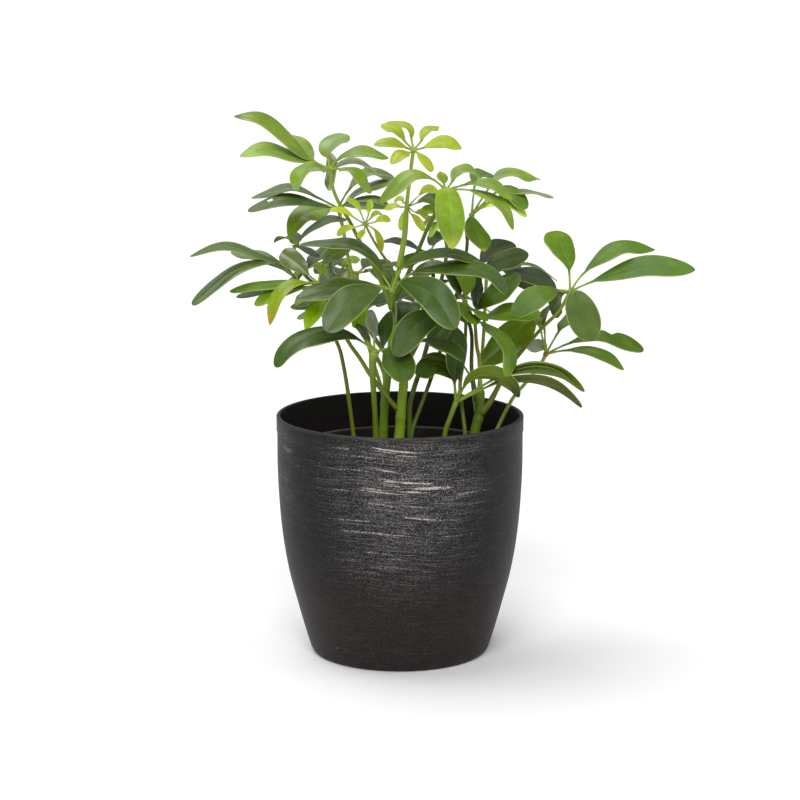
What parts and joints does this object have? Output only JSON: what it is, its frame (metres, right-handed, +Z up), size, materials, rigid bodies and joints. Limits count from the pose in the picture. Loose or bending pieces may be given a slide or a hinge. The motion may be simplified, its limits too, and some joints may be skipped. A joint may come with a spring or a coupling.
{
  "type": "potted dwarf umbrella tree",
  "caption": "Indoor foliage plant with umbrella-like whorls of leaflets on slim stems, standing in a nursery pot inside a tapering round charcoal cover pot.",
  "frame": {"origin": "centre of the cover pot's foot, on the surface it stands on", "axes": "+Z up, +X to the right and +Y away from the viewer as the picture shows the plant"},
  "size_m": [0.2985, 0.2008, 0.3277],
  "materials": {
    "pot": "satin charcoal with brushed grey streaks",
    "liner": "satin black, dusty with soil",
    "soil": "crumbly dark potting mix",
    "stem": "smooth young green bark",
    "leaf_fresh": "glossy fresh green",
    "leaf_dark": "glossy dark green",
    "leaf_lime": "satin lime green",
    "leaf_light": "glossy light green"
  },
  "bodies": {
    "root": {"cover_pot": "pot", "nursery_pot": "liner", "soil": "soil", "stem_left": "stem", "stem_centre": "stem", "stem_right": "stem", "leaf_high_left": "leaf_fresh", "leaf_high_left_back": "leaf_dark", "leaf_young_left": "leaf_lime", "leaf_mid_left_back": "leaf_dark", "leaf_young_centre": "leaf_lime", "leaf_top": "leaf_lime", "leaf_high_right": "leaf_fresh", "leaf_high_right_back": "leaf_dark", "leaf_high_centre_back": "leaf_dark", "leaf_centre_front": "leaf_dark", "leaf_centre_low": "leaf_dark", "leaf_right_upper_back": "leaf_dark", "leaf_right_mid": "leaf_dark", "leaf_right_low_back": "leaf_dark", "leaf_far_right": "leaf_fresh", "leaf_right_low": "leaf_fresh", "leaf_front_low": "leaf_dark", "leaf_left_low": "leaf_dark", "leaf_far_left": "leaf_dark", "leaf_left_fresh": "leaf_light", "leaf_left_inner": "leaf_light", "leaf_centre_back": "leaf_dark", "leaf_back_left": "leaf_dark", "leaf_back_centre": "leaf_dark", "leaf_back_right": "leaf_dark"}
  },
  "joints": []
}
